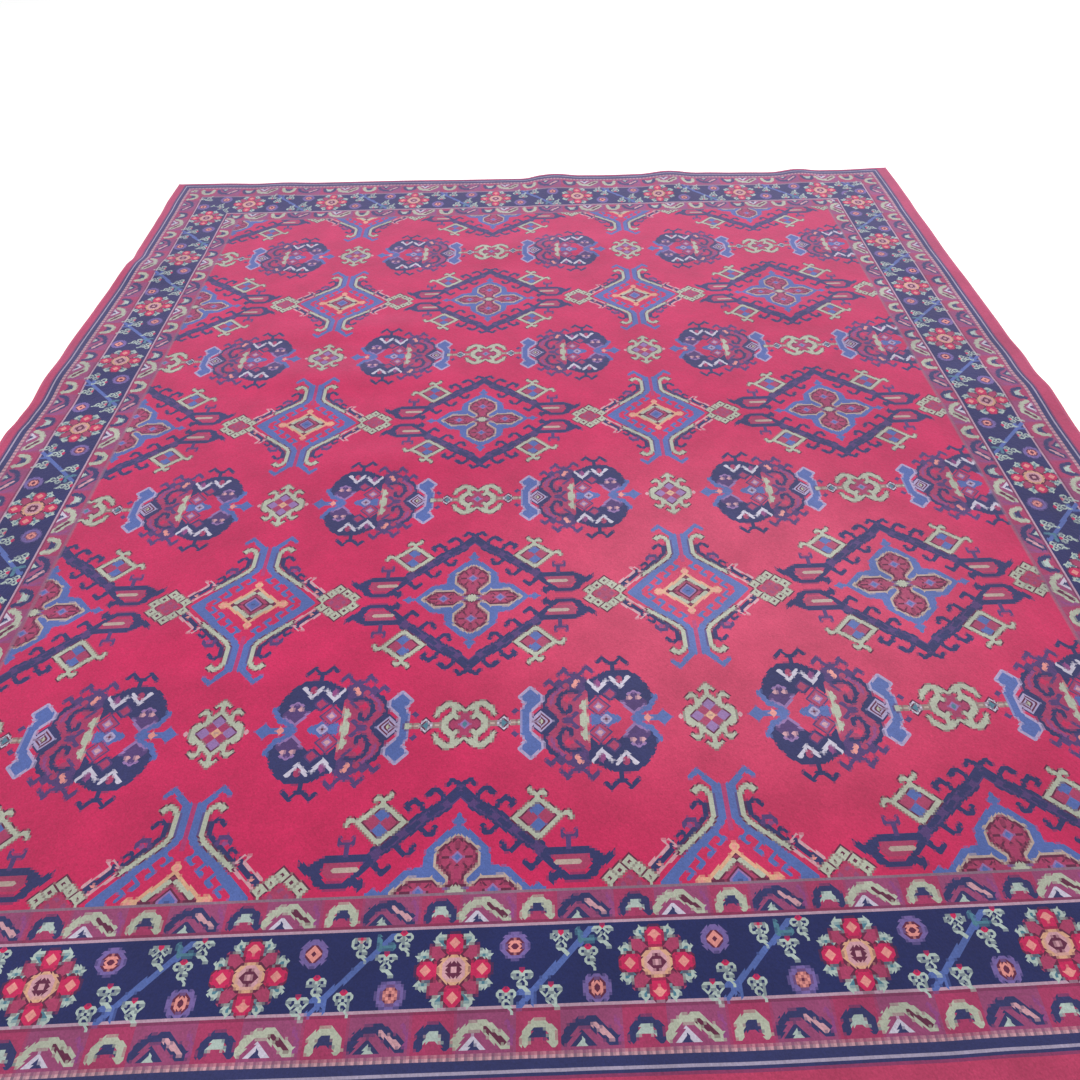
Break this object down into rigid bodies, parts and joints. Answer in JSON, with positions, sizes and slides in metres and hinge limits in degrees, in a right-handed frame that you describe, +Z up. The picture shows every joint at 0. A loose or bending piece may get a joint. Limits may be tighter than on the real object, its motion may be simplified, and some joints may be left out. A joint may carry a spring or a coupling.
{
  "type": "hand-knotted wool rug",
  "caption": "Large rectangular hand-knotted wool pile rug with a traditional medallion field and patterned borders, lying open with low ripples.",
  "frame": {"origin": "on the floor, under the middle of the rug", "axes": "+X across the rug to the right of the picture, +Y along it to the far end, +Z up out of the pile"},
  "size_m": [3.375, 3.773, 0.0217],
  "materials": {
    "wool_pile": "hand-knotted wool pile, crimson ground with navy, blue, sage, peach and mauve pattern, matt with a soft sheen"
  },
  "bodies": {
    "root": {"knotted_rug": "wool_pile"}
  },
  "joints": []
}
